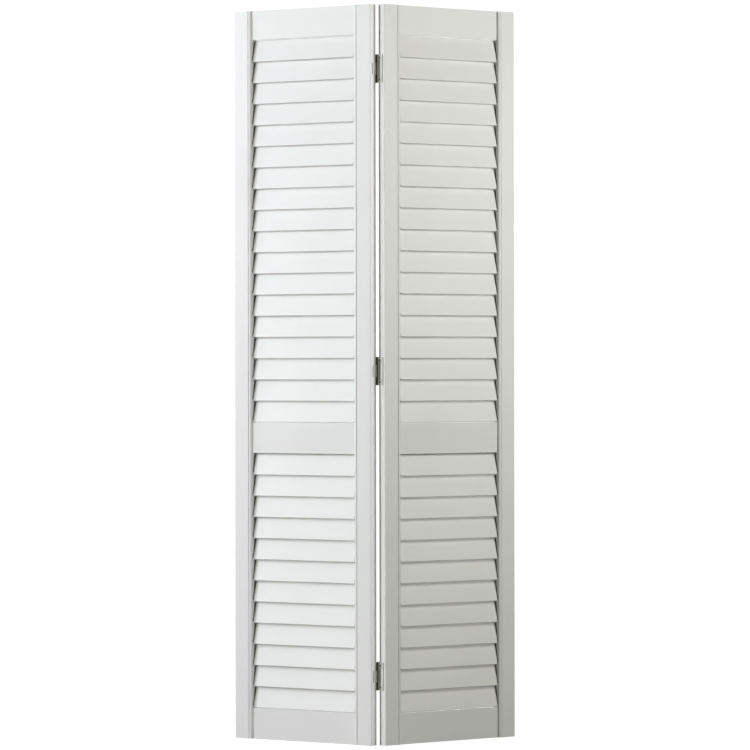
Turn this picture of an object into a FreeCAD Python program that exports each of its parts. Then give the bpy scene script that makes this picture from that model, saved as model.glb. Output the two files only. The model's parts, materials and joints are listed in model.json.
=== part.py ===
"""Louvred bifold closet door: two wooden panels on three loose-pin hinges, standing half folded.

Millimetres, +Z up. Every piece is drawn in the flat frame of its own panel: x runs from the hinge pin out
along the panel (negative for the left panel), y is the depth with the pin at 0 and the front face at the
lowest y, and z is the height above the floor. The placement of each body then folds its panel about the pin,
and sets the pin so that the origin is the middle of the standing door's footprint.
"""

import FreeCAD, Part
import os
import re

import Sketcher

V = FreeCAD.Vector

SIZES = (
    # the door
    ("panel_height", "2007", "height of both panels"),
    ("panel_width", "451.1", "width of one panel"),
    ("thickness", "26", "thickness of the stiles"),
    ("fold", "35.2", "angle that each panel stands turned back from flat"),
    ("gap", "2.4", "gap between the hinge stiles when the door is flat"),
    ("pin_back", "5.3", "distance of the hinge pin behind the back faces"),
    # stiles and their moulded inner edges
    ("stile_width", "57.4", "width of a stile with its moulding"),
    ("stile_face", "45.4", "flat part of a stile's face"),
    ("quirk_width", "1.7", "width of the fine groove beside the bead"),
    ("quirk_depth", "2.2", "depth of that groove"),
    ("bead_start", "0.4", "depth of the bead's near end behind the face"),
    ("bead_end", "55", "far end of the bead, from the stile's outer edge"),
    ("bead_drop", "2.6", "depth of the bead's far end behind the face"),
    ("bead_radius", "8.5", "radius of the bead"),
    ("recess", "6.35", "depth of the rails' faces behind the stiles' faces"),
    ("front_round", "2.6", "rounding of the stiles' long outer corners in front"),
    ("back_round", "1", "rounding of the stiles' long outer corners at the back"),
    ("corner_cut", "3.5", "small cut at the outer stiles' top and bottom corners"),
    # rails
    ("bottom_rail", "84.9", "height of the bottom rail"),
    ("middle_rail", "83.9", "height of the middle rail"),
    ("top_rail", "79.8", "height of the top rail"),
    ("lower_bay", "703.6", "height of the opening under the middle rail"),
    ("rail_round", "0.3", "eased edges of the rails' faces"),
    # slats and the slots that hold them
    ("slat_pitch", "58.4", "distance from slat to slat"),
    ("slat_width", "60.8", "width of a slat along its slope"),
    ("slat_thick", "6.3", "thickness of a slat"),
    ("slat_tilt", "12", "lean of a slat from upright"),
    ("slat_back", "5", "depth of a slat's lower front edge behind the stile's face"),
    ("slat_lift", "1.8", "height of the lowest slat above its rail"),
    ("slat_round", "1.2", "rounding of a slat's long edges"),
    ("slat_short", "1", "distance from a slat's shoulder to the stile"),
    ("tongue_low", "8", "start of the tongue along the slope"),
    ("tongue_high", "55", "end of the tongue along the slope"),
    ("tongue_front", "1.2", "shoulder in front of the tongue"),
    ("tongue_reach", "12", "length of a tongue inside its slot"),
    ("slot_low", "4", "start of a slot along the slope"),
    ("slot_high", "56", "end of a slot along the slope"),
    ("slot_front_low", "-1.6", "front of a slot at its lower end, before the slat's face"),
    ("slot_front_high", "-5", "front of a slot at its upper end, before the slat's face"),
    ("slot_reach", "13", "depth of a slot in the stile"),
    # dowels
    ("dowel_radius", "4", "dowels between rails and stiles"),
    ("dowel_in_rail", "26", "length of a dowel in the rail"),
    ("dowel_in_stile", "20", "length of a dowel in the stile"),
    ("dowel_rise", "20", "distance of a dowel from the rail's middle"),
    # bores for the pivots and the guide
    ("pivot_radius", "4.76", "bores for the pivots and the guide"),
    ("pivot_depth", "45", "depth of those bores"),
    ("pivot_inset", "22", "distance of those bores from the panel's outer edge"),
    # hinges
    ("hinge_low", "186.5", "height of the lower hinge's middle"),
    ("hinge_middle", "1013.5", "height of the middle hinge's middle"),
    ("hinge_high", "1833", "height of the upper hinge's middle"),
    ("hinge_height", "76", "height of a hinge"),
    ("leaf_thick", "1.8", "thickness of the leaves"),
    ("outer_reach", "19", "reach of the outer leaf past the back face"),
    ("inner_reach", "16", "reach of the inner leaf past the back face"),
    ("inner_height", "32", "height of the inner leaf"),
    ("window_gap", "0.6", "room past the inner leaf's end in the outer leaf's window"),
    ("window_height", "44", "height of the window"),
    ("knuckle_radius", "4.9", "radius of the knuckles"),
    ("knuckle_gap", "0.3", "room between the knuckles"),
    ("pin_radius", "2.2", "radius of the pin"),
    ("pin_play", "0.05", "running fit of the pin in the inner leaf's knuckle"),
    ("pin_head", "3.6", "radius of the pin's head"),
    ("pin_head_height", "1.4", "height of the pin's head"),
    # screws
    ("screw_radius", "1.75", "radius of a screw's shank"),
    ("screw_head", "3.4", "radius of a screw's head"),
    ("screw_length", "19", "length of a screw with its point"),
    ("screw_point", "5", "length of a screw's point"),
    ("screw_play", "0.05", "room round a screw in its hole"),
    ("cross_reach", "1.9", "reach of the cross recess in a screw's head"),
    ("cross_half", "0.5", "half the width of the recess's arms"),
    ("cross_depth", "1.5", "depth of the recess"),
    ("outer_screw", "29", "distance of the outer leaf's screws from the hinge's middle"),
    ("inner_screw", "9", "distance of the inner leaf's screws from the hinge's middle"),
    ("screw_set", "6", "distance of the screws from the stile's back face"),
    # worked out from the values above
    ("half_gap", "=gap / 2", "inner edge of a panel, from the pin"),
    ("outer_edge", "=half_gap + panel_width", "outer edge of a panel, from the pin"),
    ("inner_wall", "=half_gap + stile_width", "hinge stile's side of the bays"),
    ("outer_wall", "=outer_edge - stile_width", "outer stile's side of the bays"),
    ("bay_width", "=outer_wall - inner_wall", "width of the bays"),
    ("bay_middle", "=(outer_wall + inner_wall) / 2", "middle of the bays, from the pin"),
    ("front_face", "=-pin_back - thickness", "depth of the front face"),
    ("middle_depth", "=-pin_back - thickness / 2", "depth of the stiles' middle"),
    ("rail_front", "=front_face + recess", "depth of the rails' front face"),
    ("rail_rear", "=-pin_back - recess", "depth of the rails' back face"),
    ("lower_start", "=bottom_rail", "floor of the lower bay"),
    ("middle_start", "=lower_start + lower_bay", "underside of the middle rail"),
    ("upper_start", "=middle_start + middle_rail", "floor of the upper bay"),
    ("top_start", "=panel_height - top_rail", "underside of the top rail"),
    ("slat_front", "=front_face + slat_back", "depth of a slat's lower front edge"),
    ("tilt_sin", "=sin(slat_tilt)", "lean of a slat per length"),
    ("tilt_cos", "=cos(slat_tilt)", "rise of a slat per length"),
    ("front_reach", "=(half_gap + front_round) * sin(fold) + (front_face + front_round) * cos(fold)"
     " - front_round", "foremost point of the folded door, from the pin"),
    ("back_reach", "=(outer_edge - back_round) * sin(fold) - (pin_back + back_round) * cos(fold)"
     " + back_round", "rearmost point of the folded door, from the pin"),
    ("pin_depth", "=-(front_reach + back_reach) / 2", "depth of the pin in the part's frame"),
)

SIDES = {"left": -1, "right": 1}
BAYS = {"lower": ("lower_start", 12), "upper": ("upper_start", 18)}
SLATS_PER_NODE = 3
RAILS = {
    "bottom": ("0", "bottom_rail"),
    "middle": ("middle_start", "middle_rail"),
    "top": ("top_start", "top_rail"),
}
HINGES = ("low", "middle", "high")
HINGE_NAMES = {"low": "lower", "middle": "middle", "high": "upper"}

doc = FreeCAD.newDocument("BifoldDoor")
sheet = doc.addObject("Spreadsheet::Sheet", "Dims")
nodes = []


def fill_sheet():
    for row, (name, value, note) in enumerate(SIZES, 1):
        sheet.set(f"A{row}", name)
        sheet.set(f"B{row}", value)
        sheet.set(f"C{row}", note)
        sheet.setAlias(f"B{row}", name)
    doc.recompute()


def bound(expression):
    """An expression of the sheet's names, as the other objects of the document read it."""
    return re.sub(r"[a-z_]+", lambda word: f"Dims.{word.group()}", expression)


def size(expression):
    return float(sheet.evalExpression(expression))


def signed(side, expression):
    return expression if side > 0 else f"-({expression})"


# Bodies, sketches and features


def new_body(label):
    body = doc.addObject("PartDesign::Body", label)
    body.Label = label
    return body


def origin_item(body, role):
    return next(item for item in body.Origin.OriginFeatures if item.Role == role)


def new_sketch(body, name, plane, along="0", up="0", out="0"):
    """A sketch on one of the body's origin planes, shifted along and up in it and out along its normal."""
    sketch = body.newObject("Sketcher::SketchObject", name)
    sketch.AttachmentSupport = (origin_item(body, plane), [""])
    sketch.MapMode = "FlatFace"
    for axis, expression in (("x", along), ("y", up), ("z", out)):
        if expression != "0":
            sketch.setExpression(f"AttachmentOffset.Base.{axis}", bound(expression))
    return sketch


def hold(sketch, kind, geometry, point, expression):
    """Holds a point at a distance from the sketch's origin."""
    index = sketch.addConstraint(Sketcher.Constraint(kind, -1, 1, geometry, point, size(expression)))
    if re.search(r"[a-z]", expression):
        sketch.setExpression(f"Constraints[{index}]", bound(expression))


def draw_outline(sketch, corners, arcs=()):
    """A closed outline through its corners. arcs gives, for a corner's number, the radius expression of
    the arc that leads from it to the next corner, and 1 or -1 for the side that the arc bulges to."""
    arcs = dict(arcs)
    first = sketch.GeometryCount
    points = [V(size(x), size(y), 0) for x, y in corners]
    count = len(points)
    ends = {}
    for index, start in enumerate(points):
        end = points[(index + 1) % count]
        radius, bulge = arcs.get(index, (None, 1))
        ends[index] = (1, 2)
        if radius is None:
            sketch.addGeometry(Part.LineSegment(start, end), False)
            continue
        half = (end - start) / 2
        outward = V(half.y, -half.x, 0).normalize() * bulge
        rise = size(radius) - (size(radius) ** 2 - half.Length**2) ** 0.5
        middle = start + half + outward * rise
        if bulge < 0:  # an arc is kept anticlockwise, so this one starts at its far end
            start, end = end, start
            ends[index] = (2, 1)
        sketch.addGeometry(Part.Arc(start, middle, end), False)
    for index in range(count):
        after = (index + 1) % count
        sketch.addConstraint(
            Sketcher.Constraint("Coincident", first + index, ends[index][1], first + after, ends[after][0])
        )
    for index, (x, y) in enumerate(corners):
        hold(sketch, "DistanceX", first + index, ends[index][0], x)
        hold(sketch, "DistanceY", first + index, ends[index][0], y)
    for index, (radius, _) in arcs.items():
        held = sketch.addConstraint(Sketcher.Constraint("Radius", first + index, size(radius)))
        sketch.setExpression(f"Constraints[{held}]", bound(radius))


def draw_circle(sketch, x, y, radius):
    circle = sketch.addGeometry(Part.Circle(V(size(x), size(y), 0), V(0, 0, 1), size(radius)), False)
    hold(sketch, "DistanceX", circle, 3, x)
    hold(sketch, "DistanceY", circle, 3, y)
    held = sketch.addConstraint(Sketcher.Constraint("Radius", circle, size(radius)))
    sketch.setExpression(f"Constraints[{held}]", bound(radius))


def add_pad(body, sketch, name, length, both_ways=False, backwards=False):
    pad = body.newObject("PartDesign::Pad", name)
    pad.Profile = sketch
    pad.SideType = "Symmetric" if both_ways else "One side"
    pad.Reversed = backwards
    pad.setExpression("Length", bound(length))
    doc.recompute()
    return pad


def add_pocket(body, sketch, name, length, backwards=False):
    """A pocket cuts away from the sketch's normal, or along it when backwards. It has to remove something."""
    before = body.Shape.Volume
    pocket = body.newObject("PartDesign::Pocket", name)
    pocket.Profile = sketch
    pocket.Reversed = backwards
    pocket.setExpression("Length", bound(length))
    doc.recompute()
    if body.Shape.Volume >= before:
        raise RuntimeError(f"{body.Label}: {name} cuts nothing")
    return pocket


def add_row(body, features, name, axis, step, count, backwards=False):
    """Repeats features along an origin axis."""
    row = body.newObject("PartDesign::LinearPattern", name)
    row.Originals = features
    row.Reversed = backwards
    row.Direction = (origin_item(body, axis), [""])
    row.Occurrences = count
    row.setExpression("Length", bound(f"({step}) * {count - 1}"))
    body.Tip = row
    doc.recompute()
    return row


def add_fillet(body, name, radius, wanted):
    """Rounds the edges of the body's last feature for which wanted(edge) holds."""
    base = body.Tip
    names = [f"Edge{number}" for number, edge in enumerate(base.Shape.Edges, 1) if wanted(edge)]
    fillet = body.newObject("PartDesign::Fillet", name)
    fillet.Base = (base, names)
    fillet.setExpression("Radius", bound(radius))
    doc.recompute()
    return fillet


def runs_along(edge, axis):
    """True for a straight edge along x, y or z."""
    if edge.Curve.TypeId != "Part::GeomLine":
        return False
    direction = edge.Vertexes[-1].Point - edge.Vertexes[0].Point
    return abs(abs(getattr(direction.normalize(), axis)) - 1) < 1e-6


def stand(piece, side):
    """Folds a finished piece with its panel, and keeps it as a node."""
    piece.Placement = FreeCAD.Placement(V(0, 0, 0), FreeCAD.Rotation(V(0, 0, 1), 0))
    piece.setExpression("Placement.Base.y", bound("pin_depth"))
    piece.setExpression("Placement.Rotation.Angle", bound(signed(side, "fold")))
    nodes.append(piece)


# Stiles


def stile_outline(side, edge, inward):
    """The stile's section: x from its outer edge towards the bays, y from the front face to the back."""

    def corner(across, depth):
        return signed(side, f"{edge} + {inward} * ({across})"), f"front_face + {depth}"

    front = [
        corner("0", "0"),
        corner("stile_face", "0"),
        corner("stile_face + quirk_width", "quirk_depth"),
        corner("stile_face + quirk_width", "bead_start"),
        corner("bead_end", "bead_drop"),
        corner("stile_width", "recess"),
    ]
    back = [
        corner("stile_width", "thickness - recess"),
        corner("bead_end", "thickness - bead_drop"),
        corner("stile_face + quirk_width", "thickness - bead_start"),
        corner("stile_face + quirk_width", "thickness - quirk_depth"),
        corner("stile_face", "thickness"),
        corner("0", "thickness"),
    ]
    bulge = side * inward
    return front + back, ((3, ("bead_radius", bulge)), (6, ("bead_radius", bulge)))


def slat_point(along, back):
    """A point of a slat's section on the YZ plane: along its slope, and back from its front face."""
    return (
        f"slat_front + ({along}) * tilt_sin + ({back}) * tilt_cos",
        f"({along}) * tilt_cos - ({back}) * tilt_sin",
    )


SLOT_SECTION = [
    slat_point("slot_low", "slat_thick"),
    slat_point("slot_high", "slat_thick"),
    slat_point("slot_high", "slot_front_high"),
    slat_point("slot_low", "slot_front_low"),
]
SLAT_SECTION = [
    slat_point("slat_round", "0"),
    slat_point("0", "slat_round"),
    slat_point("0", "slat_thick - slat_round"),
    slat_point("slat_round", "slat_thick"),
    slat_point("slat_width - slat_round", "slat_thick"),
    slat_point("slat_width", "slat_thick - slat_round"),
    slat_point("slat_width", "slat_round"),
    slat_point("slat_width - slat_round", "0"),
]
SLAT_ROUNDS = [(corner, ("slat_round", 1)) for corner in (0, 2, 4, 6)]
TONGUE_SECTION = [
    slat_point("tongue_low", "tongue_front"),
    slat_point("tongue_low", "slat_thick"),
    slat_point("tongue_high", "slat_thick"),
    slat_point("tongue_high", "tongue_front"),
]


def cut_slots(body, side, wall, inward):
    """Routes a slanting slot for every slat into the stile's inner wall."""
    for bay, (start, count) in BAYS.items():
        sketch = new_sketch(
            body, f"{bay}_slot_section", "YZ_Plane", up=f"{start} + slat_lift", out=signed(side, wall)
        )
        draw_outline(sketch, SLOT_SECTION)
        slot = add_pocket(body, sketch, f"{bay}_slot", "slot_reach", backwards=side * inward < 0)
        add_row(body, [slot], f"{bay}_slots", "Z_Axis", "slat_pitch", count)


def dowel_heights():
    for start, height in RAILS.values():
        for rise in ("-dowel_rise", "+dowel_rise"):
            yield f"{start} + {height} / 2 {rise}"


def drill_for_dowels(body, side, wall, inward):
    sketch = new_sketch(body, "dowel_centres", "YZ_Plane", out=signed(side, wall))
    for height in dowel_heights():
        draw_circle(sketch, "middle_depth", height, "dowel_radius")
    add_pocket(body, sketch, "dowel_holes", "dowel_in_stile", backwards=side * inward < 0)


def make_stile(label, side, edge, inward):
    body = new_body(label)
    wall = f"{edge} + {inward} * stile_width"
    sketch = new_sketch(body, "section", "XY_Plane")
    draw_outline(sketch, *stile_outline(side, edge, inward))
    add_pad(body, sketch, "length", "panel_height")
    outer_x = side * size(edge)
    middle_y = size("middle_depth")
    for name, radius, turn in (("front", "front_round", -1), ("back", "back_round", 1)):
        add_fillet(
            body,
            f"{name}_corner",
            radius,
            lambda e: runs_along(e, "z")
            and abs(e.Vertexes[0].X - outer_x) < 1e-3
            and turn * (e.Vertexes[0].Y - middle_y) > 0,
        )
    cut_slots(body, side, wall, inward)
    drill_for_dowels(body, side, wall, inward)
    return body


def drill_for_screws(body, side, rise):
    """Pilot holes for the screws of all three hinges in the stile's hinge edge."""
    sketch = new_sketch(body, "screw_centres", "YZ_Plane", out=signed(side, "half_gap"))
    for hinge in HINGES:
        for sign in ("-", "+"):
            draw_circle(
                sketch, "-pin_back - screw_set", f"hinge_{hinge} {sign} {rise}", "screw_radius + screw_play"
            )
    add_pocket(body, sketch, "screw_holes", "screw_length", backwards=side > 0)


def trim_outer_corners(body, side):
    """Takes the sharp corner off the top and the bottom of the panel's outer edge."""
    for name, height, down in (("bottom", "0", "+"), ("top", "panel_height", "-")):
        sketch = new_sketch(body, f"{name}_corner_cut", "XZ_Plane")
        draw_outline(
            sketch,
            [
                (signed(side, "outer_edge"), height),
                (signed(side, "outer_edge - corner_cut"), height),
                (signed(side, "outer_edge"), f"{height} {down} corner_cut"),
            ],
        )
        add_pocket(body, sketch, f"{name}_corner", "thickness + pin_back", backwards=True)


def bore_for_pivots(body, side):
    """Bores up from the bottom and down from the top, for the pivots or the guide that the track needs."""
    for name, height, upwards in (("bottom", "0", True), ("top", "panel_height", False)):
        sketch = new_sketch(body, f"{name}_pivot_centre", "XY_Plane", out=height)
        draw_circle(sketch, signed(side, "outer_edge - pivot_inset"), "middle_depth", "pivot_radius")
        add_pocket(body, sketch, f"{name}_pivot_bore", "pivot_depth", backwards=upwards)


def make_stiles(name, side):
    hinge_stile = make_stile(f"{name}_hinge_stile", side, "half_gap", 1)
    drill_for_screws(hinge_stile, side, "outer_screw" if side > 0 else "inner_screw")
    stand(hinge_stile, side)
    outer_stile = make_stile(f"{name}_outer_stile", side, "outer_edge", -1)
    trim_outer_corners(outer_stile, side)
    bore_for_pivots(outer_stile, side)
    stand(outer_stile, side)


# Rails and their dowels


def make_rail(name, side, rail, start, height):
    body = new_body(f"{name}_{rail}_rail")
    sketch = new_sketch(body, "section", "YZ_Plane", up=start, out=signed(side, "bay_middle"))
    draw_outline(
        sketch, [("rail_front", "0"), ("rail_rear", "0"), ("rail_rear", height), ("rail_front", height)]
    )
    add_pad(body, sketch, "length", "bay_width", both_ways=True)
    faces = (size("rail_front"), size("rail_rear"))
    add_fillet(
        body,
        "eased_edges",
        "rail_round",
        lambda e: not runs_along(e, "y") and min(abs(e.Vertexes[0].Y - y) for y in faces) < 1e-3,
    )
    for end, wall, outwards in (("inner", "inner_wall", 1), ("outer", "outer_wall", -1)):
        holes = new_sketch(body, f"{end}_dowel_centres", "YZ_Plane", up=start, out=signed(side, wall))
        for rise in ("-dowel_rise", "+dowel_rise"):
            draw_circle(holes, "middle_depth", f"{height} / 2 {rise}", "dowel_radius")
        add_pocket(body, holes, f"{end}_dowel_holes", "dowel_in_rail", backwards=side * outwards > 0)
    stand(body, side)


def make_dowels(name, side, rail, start, height):
    body = new_body(f"{name}_{rail}_rail_dowels")
    sketch = new_sketch(
        body, "centres", "YZ_Plane", up=start, out=signed(side, "inner_wall - dowel_in_stile")
    )
    for rise in ("-dowel_rise", "+dowel_rise"):
        draw_circle(sketch, "middle_depth", f"{height} / 2 {rise}", "dowel_radius")
    pad = add_pad(body, sketch, "length", "dowel_in_stile + dowel_in_rail", backwards=side < 0)
    step = "bay_width + dowel_in_stile - dowel_in_rail"
    add_row(body, [pad], "both_ends", "X_Axis", step, 2, backwards=side < 0)
    stand(body, side)


# Slats


def make_slats(name, side, bay, start, first):
    """Three slats of one bay, counted from below, each with a tongue at both ends."""
    body = new_body(f"{name}_{bay}_slats_{first // SLATS_PER_NODE + 1}")
    base = f"{start} + slat_lift + {first} * slat_pitch"
    section = new_sketch(body, "section", "YZ_Plane", up=base, out=signed(side, "bay_middle"))
    draw_outline(section, SLAT_SECTION, SLAT_ROUNDS)
    slat = add_pad(body, section, "slat", "bay_width - 2 * slat_short", both_ways=True)
    section = new_sketch(body, "tongue_section", "YZ_Plane", up=base, out=signed(side, "bay_middle"))
    draw_outline(section, TONGUE_SECTION)
    tongues = add_pad(body, section, "tongues", "bay_width + 2 * tongue_reach", both_ways=True)
    add_row(body, [slat, tongues], "row", "Z_Axis", "slat_pitch", SLATS_PER_NODE)
    stand(body, side)


# Hinges: plain solids joined and cut in the panel's flat frame


def put(solid, x, y, z):
    for axis, expression in (("x", x), ("y", y), ("z", z)):
        solid.setExpression(f"Placement.Base.{axis}", bound(expression))


def new_box(name, x, y, z, length, width, height):
    """A box from its corner with the lowest coordinates."""
    box = doc.addObject("Part::Box", name)
    for sizing, expression in (("Length", length), ("Width", width), ("Height", height)):
        box.setExpression(sizing, bound(expression))
    put(box, x, y, z)
    return box


def new_round(name, kind, x, y, z, height, radii, direction=V(0, 0, 1)):
    """A cylinder or a cone from the middle of its base."""
    solid = doc.addObject(f"Part::{kind}", name)
    solid.Placement = FreeCAD.Placement(V(0, 0, 0), FreeCAD.Rotation(V(0, 0, 1), direction))
    for sizing, expression in radii.items():
        solid.setExpression(sizing, bound(expression))
    solid.setExpression("Height", bound(height))
    put(solid, x, y, z)
    return solid


def join(name, solids):
    fuse = doc.addObject("Part::MultiFuse", name)
    fuse.Shapes = solids
    fuse.Refine = True
    return fuse


def cut(name, solid, tools):
    """Cuts the tools out of a solid. It has to remove something."""
    result = doc.addObject("Part::Cut", name)
    result.Base = solid
    result.Tool = join(f"{name}_tools", tools) if len(tools) > 1 else tools[0]
    doc.recompute()
    if result.Shape.Volume >= solid.Shape.Volume:
        raise RuntimeError(f"{name}: nothing is cut")
    return result


def countersinks(label, side, middle, rise):
    """Tapered holes for two flat-headed screws, widest at the leaf's free face."""
    free_face = signed(side, "half_gap - leaf_thick")
    into_wood = V(side, 0, 0)
    return [
        new_round(
            f"{label}_countersink_{number}",
            "Cone",
            free_face,
            "-pin_back - screw_set",
            f"{middle} {sign} {rise}",
            "leaf_thick",
            {"Radius1": "screw_head + screw_play", "Radius2": "screw_radius + screw_play"},
            into_wood,
        )
        for number, sign in enumerate("-+", 1)
    ]


def leaf_side(side):
    """The lowest x of a leaf that lies on its panel's hinge edge."""
    return "half_gap - leaf_thick" if side > 0 else "-half_gap"


def make_outer_leaf(hinge, middle):
    """The leaf on the right panel: a plate with a window for the other leaf, and the outer two knuckles."""
    label = f"{HINGE_NAMES[hinge]}_hinge_outer_leaf"
    side = SIDES["right"]
    low = f"{middle} - hinge_height / 2"
    knuckle = "(hinge_height - inner_height) / 2 - knuckle_gap"
    solids = [
        new_box(
            f"{label}_plate", leaf_side(side), "-pin_back - outer_reach", low,
            "leaf_thick", "pin_back + outer_reach", "hinge_height",
        ),
        new_round(f"{label}_low_knuckle", "Cylinder", "0", "0", low, knuckle, {"Radius": "knuckle_radius"}),
        new_round(
            f"{label}_high_knuckle", "Cylinder", "0", "0", f"{middle} + inner_height / 2 + knuckle_gap",
            knuckle, {"Radius": "knuckle_radius"},
        ),
    ]
    tools = [
        new_box(
            f"{label}_window", "-knuckle_radius", "-pin_back - inner_reach - window_gap",
            f"{middle} - window_height / 2",
            "2 * knuckle_radius", "pin_back + inner_reach + window_gap - knuckle_radius", "window_height",
        ),
        new_box(
            f"{label}_knuckle_room", "-knuckle_radius", "-knuckle_radius",
            f"{middle} - inner_height / 2 - knuckle_gap",
            "2 * knuckle_radius", "2 * knuckle_radius", "inner_height + 2 * knuckle_gap",
        ),
        new_round(f"{label}_pin_hole", "Cylinder", "0", "0", low, "hinge_height", {"Radius": "pin_radius"}),
    ]
    tools += countersinks(label, side, middle, "outer_screw")
    stand(cut(label, join(f"{label}_blank", solids), tools), side)


def make_inner_leaf(hinge, middle):
    """The leaf on the left panel: a plate with the middle knuckle, which lies in the other leaf's window."""
    label = f"{HINGE_NAMES[hinge]}_hinge_inner_leaf"
    side = SIDES["left"]
    low = f"{middle} - inner_height / 2"
    solids = [
        new_box(
            f"{label}_plate", leaf_side(side), "-pin_back - inner_reach", low,
            "leaf_thick", "pin_back + inner_reach", "inner_height",
        ),
        new_round(
            f"{label}_knuckle", "Cylinder", "0", "0", low, "inner_height", {"Radius": "knuckle_radius"},
        ),
    ]
    tools = [
        new_round(
            f"{label}_pin_hole", "Cylinder", "0", "0", low, "inner_height",
            {"Radius": "pin_radius + pin_play"},
        )
    ]
    tools += countersinks(label, side, middle, "inner_screw")
    stand(cut(label, join(f"{label}_blank", solids), tools), side)


def make_pin(hinge, middle):
    """The loose pin, with a low round head above the upper knuckle."""
    label = f"{HINGE_NAMES[hinge]}_hinge_pin"
    low = f"{middle} - hinge_height / 2"
    shank = new_round(f"{label}_shank", "Cylinder", "0", "0", low, "hinge_height", {"Radius": "pin_radius"})
    head = new_round(
        f"{label}_head", "Cone", "0", "0", f"{middle} + hinge_height / 2", "pin_head_height",
        {"Radius1": "pin_head", "Radius2": "pin_radius"},
    )
    pin = join(label, [shank, head])
    stand(pin, SIDES["right"])


CROSS = [
    ("cross_reach", "cross_half"),
    ("cross_half", "cross_half"),
    ("cross_half", "cross_reach"),
    ("-cross_half", "cross_reach"),
    ("-cross_half", "cross_half"),
    ("-cross_reach", "cross_half"),
    ("-cross_reach", "-cross_half"),
    ("-cross_half", "-cross_half"),
    ("-cross_half", "-cross_reach"),
    ("cross_half", "-cross_reach"),
    ("cross_half", "-cross_half"),
    ("cross_reach", "-cross_half"),
]


def make_screws(hinge, middle, leaf, side, rise):
    """The two flat-headed screws of a leaf, each turned about its own axis."""
    body = new_body(f"{HINGE_NAMES[hinge]}_hinge_{leaf}_screws")
    sketch = new_sketch(
        body, "profile", "XY_Plane", along=signed(side, "half_gap - leaf_thick"),
        up="-pin_back - screw_set", out=f"{middle} - {rise}",
    )
    profile = [
        ("0", "0"),
        ("0", "screw_head"),
        ("leaf_thick", "screw_radius"),
        ("screw_length - screw_point", "screw_radius"),
        ("screw_length", "0"),
    ]
    draw_outline(sketch, [(signed(side, along), radius) for along, radius in profile])
    screw = body.newObject("PartDesign::Revolution", "screw")
    screw.Profile = sketch
    screw.ReferenceAxis = (sketch, ["H_Axis"])
    screw.Angle = 360
    doc.recompute()
    recess = new_sketch(
        body, "cross_recess", "YZ_Plane", along="-pin_back - screw_set", up=f"{middle} - {rise}",
        out=signed(side, "half_gap - leaf_thick"),
    )
    draw_outline(recess, CROSS)
    cross = add_pocket(body, recess, "cross", "cross_depth", backwards=side > 0)
    add_row(body, [screw, cross], "both_screws", "Z_Axis", f"2 * {rise}", 2)
    stand(body, side)


def check_and_write():
    """Stops on anything that failed to build, then writes every node to its own file."""
    doc.recompute()
    for item in doc.Objects:
        if "Invalid" in item.State or "Error" in item.State:
            raise RuntimeError(f"{item.Label} failed to build")
    os.makedirs("parts", exist_ok=True)
    for node in nodes:
        if node.Shape.isNull() or not node.Shape.isValid():
            raise RuntimeError(f"{node.Label} has no valid shape")
    for node in nodes:
        node.Shape.exportStep(f"parts/{node.Label}.step")
    print(f"{len(nodes)} nodes, {sum(len(node.Shape.Solids) for node in nodes)} solids")


fill_sheet()
for name, side in SIDES.items():
    make_stiles(name, side)
    for rail, (start, height) in RAILS.items():
        make_rail(name, side, rail, start, height)
        make_dowels(name, side, rail, start, height)
    for bay, (start, count) in BAYS.items():
        for first in range(0, count, SLATS_PER_NODE):
            make_slats(name, side, bay, start, first)
for hinge in HINGES:
    make_outer_leaf(hinge, f"hinge_{hinge}")
    make_inner_leaf(hinge, f"hinge_{hinge}")
    make_pin(hinge, f"hinge_{hinge}")
    make_screws(hinge, f"hinge_{hinge}", "outer_leaf", SIDES["right"], "outer_screw")
    make_screws(hinge, f"hinge_{hinge}", "inner_leaf", SIDES["left"], "inner_screw")
check_and_write()
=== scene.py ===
"""Looks, light and camera for the louvred bifold closet door."""

import json
import math

import bpy
from mathutils import Matrix, Vector

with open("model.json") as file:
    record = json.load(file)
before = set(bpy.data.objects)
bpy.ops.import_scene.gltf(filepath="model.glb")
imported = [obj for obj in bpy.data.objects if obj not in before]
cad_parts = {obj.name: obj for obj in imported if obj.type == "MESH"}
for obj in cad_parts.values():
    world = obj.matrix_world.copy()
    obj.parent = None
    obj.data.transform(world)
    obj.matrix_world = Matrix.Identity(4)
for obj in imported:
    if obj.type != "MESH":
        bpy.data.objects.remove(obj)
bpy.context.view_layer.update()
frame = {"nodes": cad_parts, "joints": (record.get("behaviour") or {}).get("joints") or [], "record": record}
nodes = frame["nodes"]
slots = {part["node"]: part["material_slot"] for part in frame["record"]["subparts"]}
PIN_Y = frame["joints"][0]["pos_m"][1]

# How far each panel is folded, and the sign of X on each side of the pin
FOLD = math.radians(35.2)
SIDES = {"left": -1, "right": 1}

# Sizes of a panel and a hinge, in metres
HALF_GAP = 0.0012
PANEL_WIDTH = 0.4511
STILE_WIDTH = 0.0574
STILE_FACE = 0.0454
QUIRK_WIDTH = 0.0017
THICKNESS = 0.026
PIN_BACK = 0.0053
RECESS = 0.00635
BEAD_DROP = 0.0026
SLOT_REACH = 0.014
KNUCKLE_RADIUS = 0.0049

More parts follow.
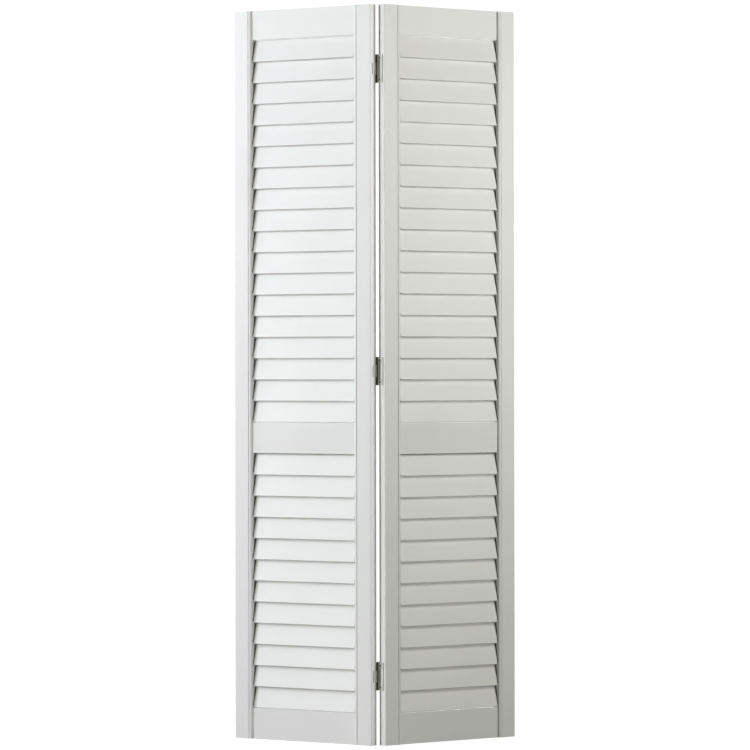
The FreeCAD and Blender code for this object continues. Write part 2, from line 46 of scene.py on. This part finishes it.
# Where the painted light and shade of a panel start and where they are full, in metres: a drop is below the
# nearer face, the painted shade by the gap is behind the front face, and the others are in from the panel's
# edge
WALL_DROP = (BEAD_DROP - 0.0016, BEAD_DROP + 0.0010)
WALL_INSET = (STILE_WIDTH - 0.0070, STILE_WIDTH - 0.0020)
SLOT_DROP = (RECESS + 0.0003, RECESS + 0.0008)
SLOT_END = (STILE_WIDTH - SLOT_REACH - 0.001, STILE_WIDTH - SLOT_REACH)
SLOT_MOUTH = (STILE_WIDTH - 0.0001, STILE_WIDTH - 0.0006)
GROOVE_DROP = (0.0003, 0.0009)
GROOVE_NEAR = (STILE_FACE, STILE_FACE + 0.0005)
GROOVE_FAR = (STILE_FACE + QUIRK_WIDTH + 0.0005, STILE_FACE + QUIRK_WIDTH + 0.0002)
EDGE_SKIN = (0.0012, 0.0008)
GAP_PAINTED_SHADE = (THICKNESS - 0.0055, THICKNESS - 0.0035)
TONGUE = (STILE_WIDTH + 0.0009, STILE_WIDTH + 0.0004)
END_PAINTED_SHADOW = (STILE_WIDTH + 0.0140, STILE_WIDTH + 0.0005)
OUTER_HALF = (PANEL_WIDTH * 0.6, PANEL_WIDTH * 0.7)

# Where the painted shade and light of a hinge start and where they are full: around the pin, right of the
# pin, both in metres, and how squarely a surface of a leaf faces along the panel
KNUCKLE_SKIN = (KNUCKLE_RADIUS + 0.0006, KNUCKLE_RADIUS + 0.0002)
KNUCKLE_LIT_SIDE = (0.0004, 0.0018)
CUT_EDGE = (0.8, 0.5)

# Colours
LIGHT_WHITE = (0.86, 0.86, 0.85)
DARK_WHITE = (0.83, 0.83, 0.82)
# painted light: the stiles' hinge edges are painted whiter than the rest, for the light they catch
EDGE_PAINTED_LIGHT_WHITE = (0.95, 0.95, 0.94)
# painted light and shade on the stiles' inner walls: lighter than the paint on the left panel, darker on the
# right
WALL_PAINTED_LIGHT_AND_SHADE = {"left": (0.95, 0.95, 0.94), "right": (0.54, 0.54, 0.52)}
# painted shade: the back of each hinge edge beside the gap is painted darker, more so on the right panel
GAP_PAINTED_SHADE_TONES = {"left": (0.63, 0.63, 0.61), "right": (0.38, 0.38, 0.36)}
# painted shade inside the slots for the slats and on the slats' tongues, darker on the right panel
SLOT_PAINTED_SHADE_TONES = {"left": (0.34, 0.34, 0.32), "right": (0.16, 0.16, 0.15)}
# painted shadow of the left outer stile on the left slats' outer ends
END_PAINTED_SHADOW_TONE = (0.38, 0.38, 0.36)
# painted shade in the groove beside the bead
GROOVE_PAINTED_SHADE_TONE = (0.30, 0.30, 0.28)
ZINC_LIGHT = (0.80, 0.80, 0.78)
ZINC_DARK = (0.72, 0.72, 0.70)
# painted shade on the edges of the hinge leaves
LEAF_EDGE_PAINTED_SHADE = (0.36, 0.36, 0.34)
# painted shade: the knuckles deep in the gap are painted near black
KNUCKLE_PAINTED_SHADE = (0.045, 0.047, 0.03)
# painted light: a lighter band on the right side of the knuckles
KNUCKLE_PAINTED_LIGHT = (0.62, 0.62, 0.60)
OILED_LIGHT = (0.06, 0.06, 0.045)
OILED_DARK = (0.04, 0.04, 0.03)
SCREW_LIGHT = (0.20, 0.19, 0.17)
SCREW_DARK = (0.13, 0.125, 0.11)
BEECH_LIGHT = (0.62, 0.45, 0.27)
BEECH_DARK = (0.47, 0.31, 0.17)

# Surfaces: how fine their marks are along X, Y and Z, and how rough and shiny they are
UPRIGHT = (60, 60, 3)
LEVEL = (3, 60, 60)
METAL_MARKS = (60, 60, 400)
BEECH_GRAIN = (8, 90, 90)
NOISE_RANGE = (0.3, 0.7)
PAINT_ROUGHNESS = (0.36, 0.48)
PAINT_IOR = 1.45
PAINT_SPECULAR = 0.4
BEECH_ROUGHNESS = 0.7
METAL_SPREAD = (-0.06, 0.08)


# Materials


class Paint:
    """A node tree under construction, with one Principled shader."""

    def __init__(self, name):
        self.material = bpy.data.materials.new(name)
        self.material.use_nodes = True
        self.tree = self.material.node_tree
        self.shader = self.tree.nodes["Principled BSDF"]
        self.place = self.add("ShaderNodeTexCoord").outputs["Object"]

    def add(self, kind, **settings):
        node = self.tree.nodes.new(kind)
        for key, value in settings.items():
            setattr(node, key, value)
        return node

    def link(self, start, end):
        self.tree.links.new(start, end)

    def stretched(self, place, scale, turn=0.0):
        """A place turned about the upright axis and scaled, for marks that run along a piece."""
        node = self.add("ShaderNodeMapping")
        node.inputs["Scale"].default_value = scale
        node.inputs["Rotation"].default_value = (0, 0, turn)
        self.link(place, node.inputs["Vector"])
        return node.outputs["Vector"]

    def noise(self, place, scale, detail):
        node = self.add("ShaderNodeTexNoise")
        node.inputs["Scale"].default_value = scale
        node.inputs["Detail"].default_value = detail
        self.link(place, node.inputs["Vector"])
        return node.outputs["Fac"]

    def ramp(self, factor, dark, light):
        """A colour from dark to light over the usual range of a noise."""
        node = self.add("ShaderNodeValToRGB")
        for element, position, colour in zip(node.color_ramp.elements, NOISE_RANGE, (dark, light)):
            element.position = position
            element.color = (*colour, 1)
        self.link(factor, node.inputs["Fac"])
        return node.outputs["Color"]

    def spread(self, factor, low, high):
        """A number from low to high over the usual range of a noise."""
        node = self.add("ShaderNodeMapRange")
        node.inputs["From Min"].default_value = NOISE_RANGE[0]
        node.inputs["From Max"].default_value = NOISE_RANGE[1]
        node.inputs["To Min"].default_value = low
        node.inputs["To Max"].default_value = high
        self.link(factor, node.inputs["Value"])
        return node.outputs["Result"]

    def work_out(self, operation, *values):
        node = self.add("ShaderNodeMath", operation=operation)
        for socket, value in zip(node.inputs, values):
            if isinstance(value, (int, float)):
                socket.default_value = value
            else:
                self.link(value, socket)
        return node.outputs["Value"]

    def measure(self, vector, direction):
        """The length of a vector along a level direction."""
        node = self.add("ShaderNodeVectorMath", operation="DOT_PRODUCT")
        self.link(vector, node.inputs[0])
        node.inputs[1].default_value = (*direction, 0)
        return node.outputs["Value"]

    def from_pin(self):
        """The place seen from the hinge pins' axis, in the pose at rest."""
        node = self.add("ShaderNodeVectorMath", operation="SUBTRACT")
        self.link(self.place, node.inputs[0])
        node.inputs[1].default_value = (0, PIN_Y, 0)
        return node.outputs["Vector"]

    def fade(self, value, start, end):
        """0 up to start and 1 from end, or the other way down where end is the lower one."""
        node = self.add("ShaderNodeMapRange", interpolation_type="SMOOTHSTEP")
        node.inputs["From Min"].default_value = start
        node.inputs["From Max"].default_value = end
        self.link(value, node.inputs["Value"])
        return node.outputs["Result"]

    def both(self, first, second):
        return self.work_out("MULTIPLY", first, second)

    def blend(self, factor, first, second):
        """The first colour at 0 and the second at 1, by the Mix node's sockets for colours."""
        node = self.add("ShaderNodeMix", data_type="RGBA")
        self.link(factor, node.inputs["Factor"])
        for socket, colour in ((node.inputs[6], first), (node.inputs[7], second)):
            if isinstance(colour, tuple):
                socket.default_value = (*colour, 1)
            else:
                self.link(colour, socket)
        return node.outputs[2]

    def bump(self, height, strength, distance):
        node = self.add("ShaderNodeBump")
        node.inputs["Strength"].default_value = strength
        node.inputs["Distance"].default_value = distance
        self.link(height, node.inputs["Height"])
        self.link(node.outputs["Normal"], self.shader.inputs["Normal"])


def along_panel(side):
    """The level direction out along a panel, from the pin."""
    return (SIDES[side] * math.cos(FOLD), math.sin(FOLD))


def back_of_panel(side):
    """The level direction through a panel, from its front to its back."""
    return (-SIDES[side] * math.sin(FOLD), math.cos(FOLD))


def from_edges(paint, side):
    """Distances in a panel: from its hinge edge, from the nearer edge, and back from its front face."""
    from_pin = paint.from_pin()
    along = paint.measure(from_pin, along_panel(side))
    from_hinge = paint.work_out("SUBTRACT", along, HALF_GAP)
    from_outer = paint.work_out("SUBTRACT", HALF_GAP + PANEL_WIDTH, along)
    inward = paint.work_out("MINIMUM", from_hinge, from_outer)
    back = paint.work_out("ADD", paint.measure(from_pin, back_of_panel(side)), PIN_BACK + THICKNESS)
    return from_hinge, inward, back


def stile_light_and_shade(paint, side, colour):
    """Painted light and shade on a stile: its hinge edge, inner wall, slots for the slats, and groove by the
    bead.
    """
    from_hinge, inward, back = from_edges(paint, side)
    off_middle = paint.work_out("ABSOLUTE", paint.work_out("SUBTRACT", back, THICKNESS / 2))
    drop = paint.work_out("SUBTRACT", THICKNESS / 2, off_middle)
    on_wall = paint.both(paint.fade(drop, *WALL_DROP), paint.fade(inward, *WALL_INSET))
    slot_shade = paint.both(
        paint.fade(drop, *SLOT_DROP),
        paint.both(paint.fade(inward, *SLOT_END), paint.fade(inward, *SLOT_MOUTH)),
    )
    across = from_hinge if side == "right" else inward  # the groove of the right outer stile gets no painted shade
    groove_shade = paint.both(
        paint.fade(drop, *GROOVE_DROP),
        paint.both(paint.fade(across, *GROOVE_NEAR), paint.fade(across, *GROOVE_FAR)),
    )
    on_edge = paint.fade(from_hinge, *EDGE_SKIN)
    shade_by_gap = paint.both(on_edge, paint.fade(back, *GAP_PAINTED_SHADE))
    # painted light: the hinge edge is painted whiter than the face
    colour = paint.blend(on_edge, colour, EDGE_PAINTED_LIGHT_WHITE)
    # painted shade on the back of the hinge edge beside the gap
    colour = paint.blend(shade_by_gap, colour, GAP_PAINTED_SHADE_TONES[side])
    # painted light on the left panel's inner walls, painted shade on the right panel's
    colour = paint.blend(on_wall, colour, WALL_PAINTED_LIGHT_AND_SHADE[side])
    # painted shade inside the slots for the slats
    colour = paint.blend(slot_shade, colour, SLOT_PAINTED_SHADE_TONES[side])
    # painted shade in the groove beside the bead
    return paint.blend(groove_shade, colour, GROOVE_PAINTED_SHADE_TONE)


def slat_painted_shade(paint, side, colour):
    """Painted shade on a slat: on its tongues, inside their slots, and a painted shadow on its outer end in
    the left panel.
    """
    from_hinge, inward, _ = from_edges(paint, side)
    if side == "left":
        # painted shadow of the outer stile on the slat's end, on the left panel only
        end_shadow = paint.both(paint.fade(inward, *END_PAINTED_SHADOW), paint.fade(from_hinge, *OUTER_HALF))
        colour = paint.blend(end_shadow, colour, END_PAINTED_SHADOW_TONE)
    # painted shade on the slat's tongues inside the slots
    return paint.blend(paint.fade(inward, *TONGUE), colour, SLOT_PAINTED_SHADE_TONES[side])


def white_paint(name, side, streaks, painted_shading=None):
    """Satin paint over wood: faint brush marks and grain along a piece, and painted light and shade where the
    given function puts it.
    """
    paint = Paint(name)
    grain_place = paint.stretched(paint.place, streaks, -SIDES[side] * FOLD)
    brush = paint.noise(grain_place, scale=6, detail=4)
    clouds = paint.noise(paint.place, scale=5, detail=3)
    colour = paint.ramp(clouds, DARK_WHITE, LIGHT_WHITE)
    if painted_shading:
        colour = painted_shading(paint, side, colour)
    paint.link(colour, paint.shader.inputs["Base Color"])
    paint.link(paint.spread(brush, *PAINT_ROUGHNESS), paint.shader.inputs["Roughness"])
    paint.bump(brush, strength=0.15, distance=0.0002)
    paint.shader.inputs["IOR"].default_value = PAINT_IOR
    paint.shader.inputs["Specular IOR Level"].default_value = PAINT_SPECULAR
    return paint.material


def bare_wood(name):
    """Unpainted beech, for the hidden dowels."""
    paint = Paint(name)
    grain = paint.noise(paint.stretched(paint.place, BEECH_GRAIN), scale=5, detail=5)
    paint.link(paint.ramp(grain, BEECH_DARK, BEECH_LIGHT), paint.shader.inputs["Base Color"])
    paint.shader.inputs["Roughness"].default_value = BEECH_ROUGHNESS
    paint.bump(grain, strength=0.2, distance=0.0002)
    return paint.material


def metal(name, light, dark, metallic, roughness):
    """Metal with fine marks: its paint, and its colour, which is still to be linked."""
    paint = Paint(name)
    marks = paint.noise(paint.stretched(paint.place, METAL_MARKS), scale=6, detail=4)
    colour = paint.ramp(marks, dark, light)
    smooth, rough = (roughness + change for change in METAL_SPREAD)
    paint.link(paint.spread(marks, smooth, rough), paint.shader.inputs["Roughness"])
    paint.shader.inputs["Metallic"].default_value = metallic
    paint.bump(marks, strength=0.1, distance=0.0001)
    return paint, colour


def plain_metal(name, light, dark, metallic):
    paint, colour = metal(name, light, dark, metallic, roughness=0.4)
    paint.link(colour, paint.shader.inputs["Base Color"])
    return paint.material


def hinge_leaf(name, side):
    """Bright zinc on the leaf's flat, painted shade on its edges, knuckles painted dark as shade, and a
    painted lighter band of light on their right.
    """
    paint, colour = metal(name, ZINC_LIGHT, ZINC_DARK, metallic=0.25, roughness=0.45)
    normal = paint.add("ShaderNodeTexCoord").outputs["Normal"]
    flatness = paint.work_out("ABSOLUTE", paint.measure(normal, along_panel(side)))
    # painted shade on the leaf's edges
    colour = paint.blend(paint.fade(flatness, *CUT_EDGE), colour, LEAF_EDGE_PAINTED_SHADE)
    level = paint.add("ShaderNodeVectorMath", operation="MULTIPLY")
    paint.link(paint.from_pin(), level.inputs[0])
    level.inputs[1].default_value = (1, 1, 0)
    radius = paint.add("ShaderNodeVectorMath", operation="LENGTH")
    paint.link(level.outputs["Vector"], radius.inputs[0])
    knuckle = paint.fade(radius.outputs["Value"], *KNUCKLE_SKIN)
    # painted shade on the knuckles
    colour = paint.blend(knuckle, colour, KNUCKLE_PAINTED_SHADE)
    # painted light on the right side of the knuckles
    knuckle_light = paint.both(knuckle, paint.fade(paint.measure(paint.from_pin(), (1, 0)), *KNUCKLE_LIT_SIDE))
    colour = paint.blend(knuckle_light, colour, KNUCKLE_PAINTED_LIGHT)
    paint.link(colour, paint.shader.inputs["Base Color"])
    return paint.material


finishes = {}
leaves = {}
for side in SIDES:
    finishes[side, "stile"] = white_paint(f"{side}_stile_paint", side, UPRIGHT, stile_light_and_shade)
    finishes[side, "rail"] = white_paint(f"{side}_rail_paint", side, LEVEL)
    finishes[side, "slats"] = white_paint(f"{side}_slat_paint", side, LEVEL, slat_painted_shade)
    leaves[side] = hinge_leaf(f"{side}_hinge_zinc", side)
metals = {
    "pin_steel": plain_metal("pin_steel", OILED_LIGHT, OILED_DARK, metallic=0.6),
    "screw_steel": plain_metal("screw_steel", SCREW_LIGHT, SCREW_DARK, metallic=0.7),
    "bright_screw_steel": plain_metal("bright_screw_steel", ZINC_LIGHT, ZINC_DARK, metallic=0.5),
}
dowel_wood = bare_wood("bare_dowel_wood")

for name, node in nodes.items():
    slot = slots[name]
    if "inner_leaf_screws" in name:
        finish = metals["bright_screw_steel"]
    elif slot in metals:
        finish = metals[slot]
    elif slot == "hinge_steel":
        finish = leaves["right" if "outer_leaf" in name else "left"]
    elif slot == "bare_wood":
        finish = dowel_wood
    else:
        side = name.split("_")[0]
        kind = "slats" if slot == "slat_paint" else "stile" if "stile" in name else "rail"
        finish = finishes[side, kind]
    node.data.materials.clear()
    node.data.materials.append(finish)


# Floor, light and ground

DOOR = (0, 0, 1.0)
DOOR_FOOT = (-0.19, 0, 0.1)
AMBIENT = 0.072
GROUND_GLOW = 1.05
FLOOR_DROP = 0.0005


def softbox(name, place, aim, width, height, power, colour=(1, 1, 1)):
    light = bpy.data.lights.new(name, "AREA")
    light.shape = "RECTANGLE"
    light.size = width
    light.size_y = height
    light.energy = power
    light.color = colour
    lamp = bpy.data.objects.new(name, light)
    bpy.context.scene.collection.objects.link(lamp)
    lamp.location = place
    lamp.rotation_mode = "QUATERNION"
    lamp.rotation_quaternion = (Vector(aim) - Vector(place)).to_track_quat("-Z", "Y")


def around(angle, distance, height):
    """A place round the door: angle from the camera's side, positive to the right."""
    a = math.radians(angle)
    return (distance * math.sin(a), -distance * math.cos(a), height)


def white_ground():
    """A plain white world for the eye, and a soft even light for the door."""
    world = bpy.data.worlds.new("studio")
    bpy.context.scene.world = world
    world.use_nodes = True
    tree = world.node_tree
    tree.nodes.clear()
    seen = tree.nodes.new("ShaderNodeBackground")
    seen.inputs["Color"].default_value = (1, 1, 1, 1)
    seen.inputs["Strength"].default_value = GROUND_GLOW
    felt = tree.nodes.new("ShaderNodeBackground")
    felt.inputs["Color"].default_value = (1, 1, 0.99, 1)
    felt.inputs["Strength"].default_value = AMBIENT
    path = tree.nodes.new("ShaderNodeLightPath")
    mix = tree.nodes.new("ShaderNodeMixShader")
    out = tree.nodes.new("ShaderNodeOutputWorld")
    tree.links.new(path.outputs["Is Camera Ray"], mix.inputs["Fac"])
    tree.links.new(felt.outputs["Background"], mix.inputs[1])
    tree.links.new(seen.outputs["Background"], mix.inputs[2])
    tree.links.new(mix.outputs["Shader"], out.inputs["Surface"])


def pale_floor():
    """A floor as pale as the ground behind it, just under the door."""
    bpy.ops.mesh.primitive_plane_add(size=40, location=(0, 0, -FLOOR_DROP))
    floor = bpy.context.object
    floor.name = "floor"
    material = bpy.data.materials.new("pale_floor")
    material.use_nodes = True
    tree = material.node_tree
    tree.nodes.clear()
    glow = tree.nodes.new("ShaderNodeEmission")
    glow.inputs["Strength"].default_value = GROUND_GLOW
    out = tree.nodes.new("ShaderNodeOutputMaterial")
    tree.links.new(glow.outputs["Emission"], out.inputs["Surface"])
    floor.data.materials.append(material)
    floor.visible_diffuse = False
    floor.visible_glossy = False
    floor.visible_shadow = False


white_ground()
pale_floor()

softbox("key_far", around(-62, 8.0, 3.0), DOOR, 1.2, 1.2, power=186, colour=(0.92, 0.98, 1.0))
softbox("key_far_side", around(-80, 8.0, 5.0), DOOR, 1.2, 1.2, power=66.9, colour=(0.71, 0.97, 1.0))
softbox("key_high", around(-62, 3.0, 2.7), DOOR, 0.35, 0.9, power=14.7, colour=(0.97, 1.0, 0.97))
softbox("key_low", around(-62, 3.0, 0.5), DOOR, 0.35, 0.9, power=10.7, colour=(1.0, 0.89, 0.86))
softbox("key_side", around(-90, 3.0, 1.6), DOOR, 0.4, 1.2, power=24.7, colour=(0.94, 0.93, 1.0))
softbox("key_rim", around(-110, 2.5, 2.0), DOOR, 0.35, 1.0, power=14.5, colour=(0.94, 0.83, 1.0))
softbox("front_high", around(10, 3.0, 2.7), DOOR, 0.35, 0.9, power=10.9, colour=(1.0, 0.97, 0.76))
softbox("fill_front", around(30, 3.0, 2.7), DOOR, 0.35, 0.9, power=8.1, colour=(1.0, 0.87, 0.89))
softbox("fill_low", around(75, 3.0, 0.5), DOOR, 0.35, 0.9, power=3.9, colour=(0.98, 1.0, 0.66))
softbox("fill_near", around(65, 1.9, 1.5), DOOR, 0.3, 0.5, power=6.4, colour=(0.96, 1.0, 0.96))
softbox("fill_high", around(65, 1.9, 2.1), DOOR, 0.3, 0.5, power=8.8, colour=(0.94, 1.0, 0.93))
softbox("fill_far", around(62, 8.0, 3.0), DOOR, 1.2, 1.2, power=80.0, colour=(0.94, 0.84, 1.0))
softbox("floor_glow", around(0, 1.2, 0.1), DOOR, 1.6, 1.0, power=1.3, colour=(0.8, 1.0, 0.72))
softbox("foot_glow", around(-25, 0.6, 0.06), DOOR_FOOT, 0.5, 0.1, power=0.2, colour=(1.0, 0.87, 0.98))
softbox("rear_left", around(-175, 3.0, 1.4), DOOR, 1.5, 1.5, power=25)
softbox("rear_right", around(160, 3.0, 1.4), DOOR, 1.5, 1.5, power=34)


# Camera, as seen from the hinge pins' foot: its angle from straight ahead, distance, height and turns

CAMERA_AZIMUTH = math.radians(-1.8255)
CAMERA_DISTANCE = 10.9293
CAMERA_HEIGHT = 1.0316
CAMERA_YAW = CAMERA_AZIMUTH + math.radians(0.0358)  # all but turned to the pins
CAMERA_PITCH = math.radians(-0.1479)
CAMERA_ROLL = math.radians(0.0915)
CAMERA_LENS = 193.55
CAMERA_SENSOR = 36
CAMERA_REACH = 100

camera_data = bpy.data.cameras.new("camera")
camera_data.sensor_width = CAMERA_SENSOR
camera_data.lens = CAMERA_LENS
camera_data.clip_end = CAMERA_REACH
camera = bpy.data.objects.new("camera", camera_data)
bpy.context.scene.collection.objects.link(camera)
forward = Vector(
    (
        -math.sin(CAMERA_YAW) * math.cos(CAMERA_PITCH),
        math.cos(CAMERA_YAW) * math.cos(CAMERA_PITCH),
        math.sin(CAMERA_PITCH),
    )
)
level = Vector((math.cos(CAMERA_YAW), math.sin(CAMERA_YAW), 0))
upright = level.cross(forward)
right = level * math.cos(CAMERA_ROLL) - upright * math.sin(CAMERA_ROLL)
up = level * math.sin(CAMERA_ROLL) + upright * math.cos(CAMERA_ROLL)
turn = Matrix((right, up, -forward)).transposed()
camera.rotation_mode = "QUATERNION"
camera.rotation_quaternion = turn.to_quaternion()
camera.location = (
    CAMERA_DISTANCE * math.sin(CAMERA_AZIMUTH),
    -CAMERA_DISTANCE * math.cos(CAMERA_AZIMUTH) + PIN_Y,
    CAMERA_HEIGHT,
)
bpy.context.scene.camera = camera
bpy.context.scene.view_settings.view_transform = "Standard"
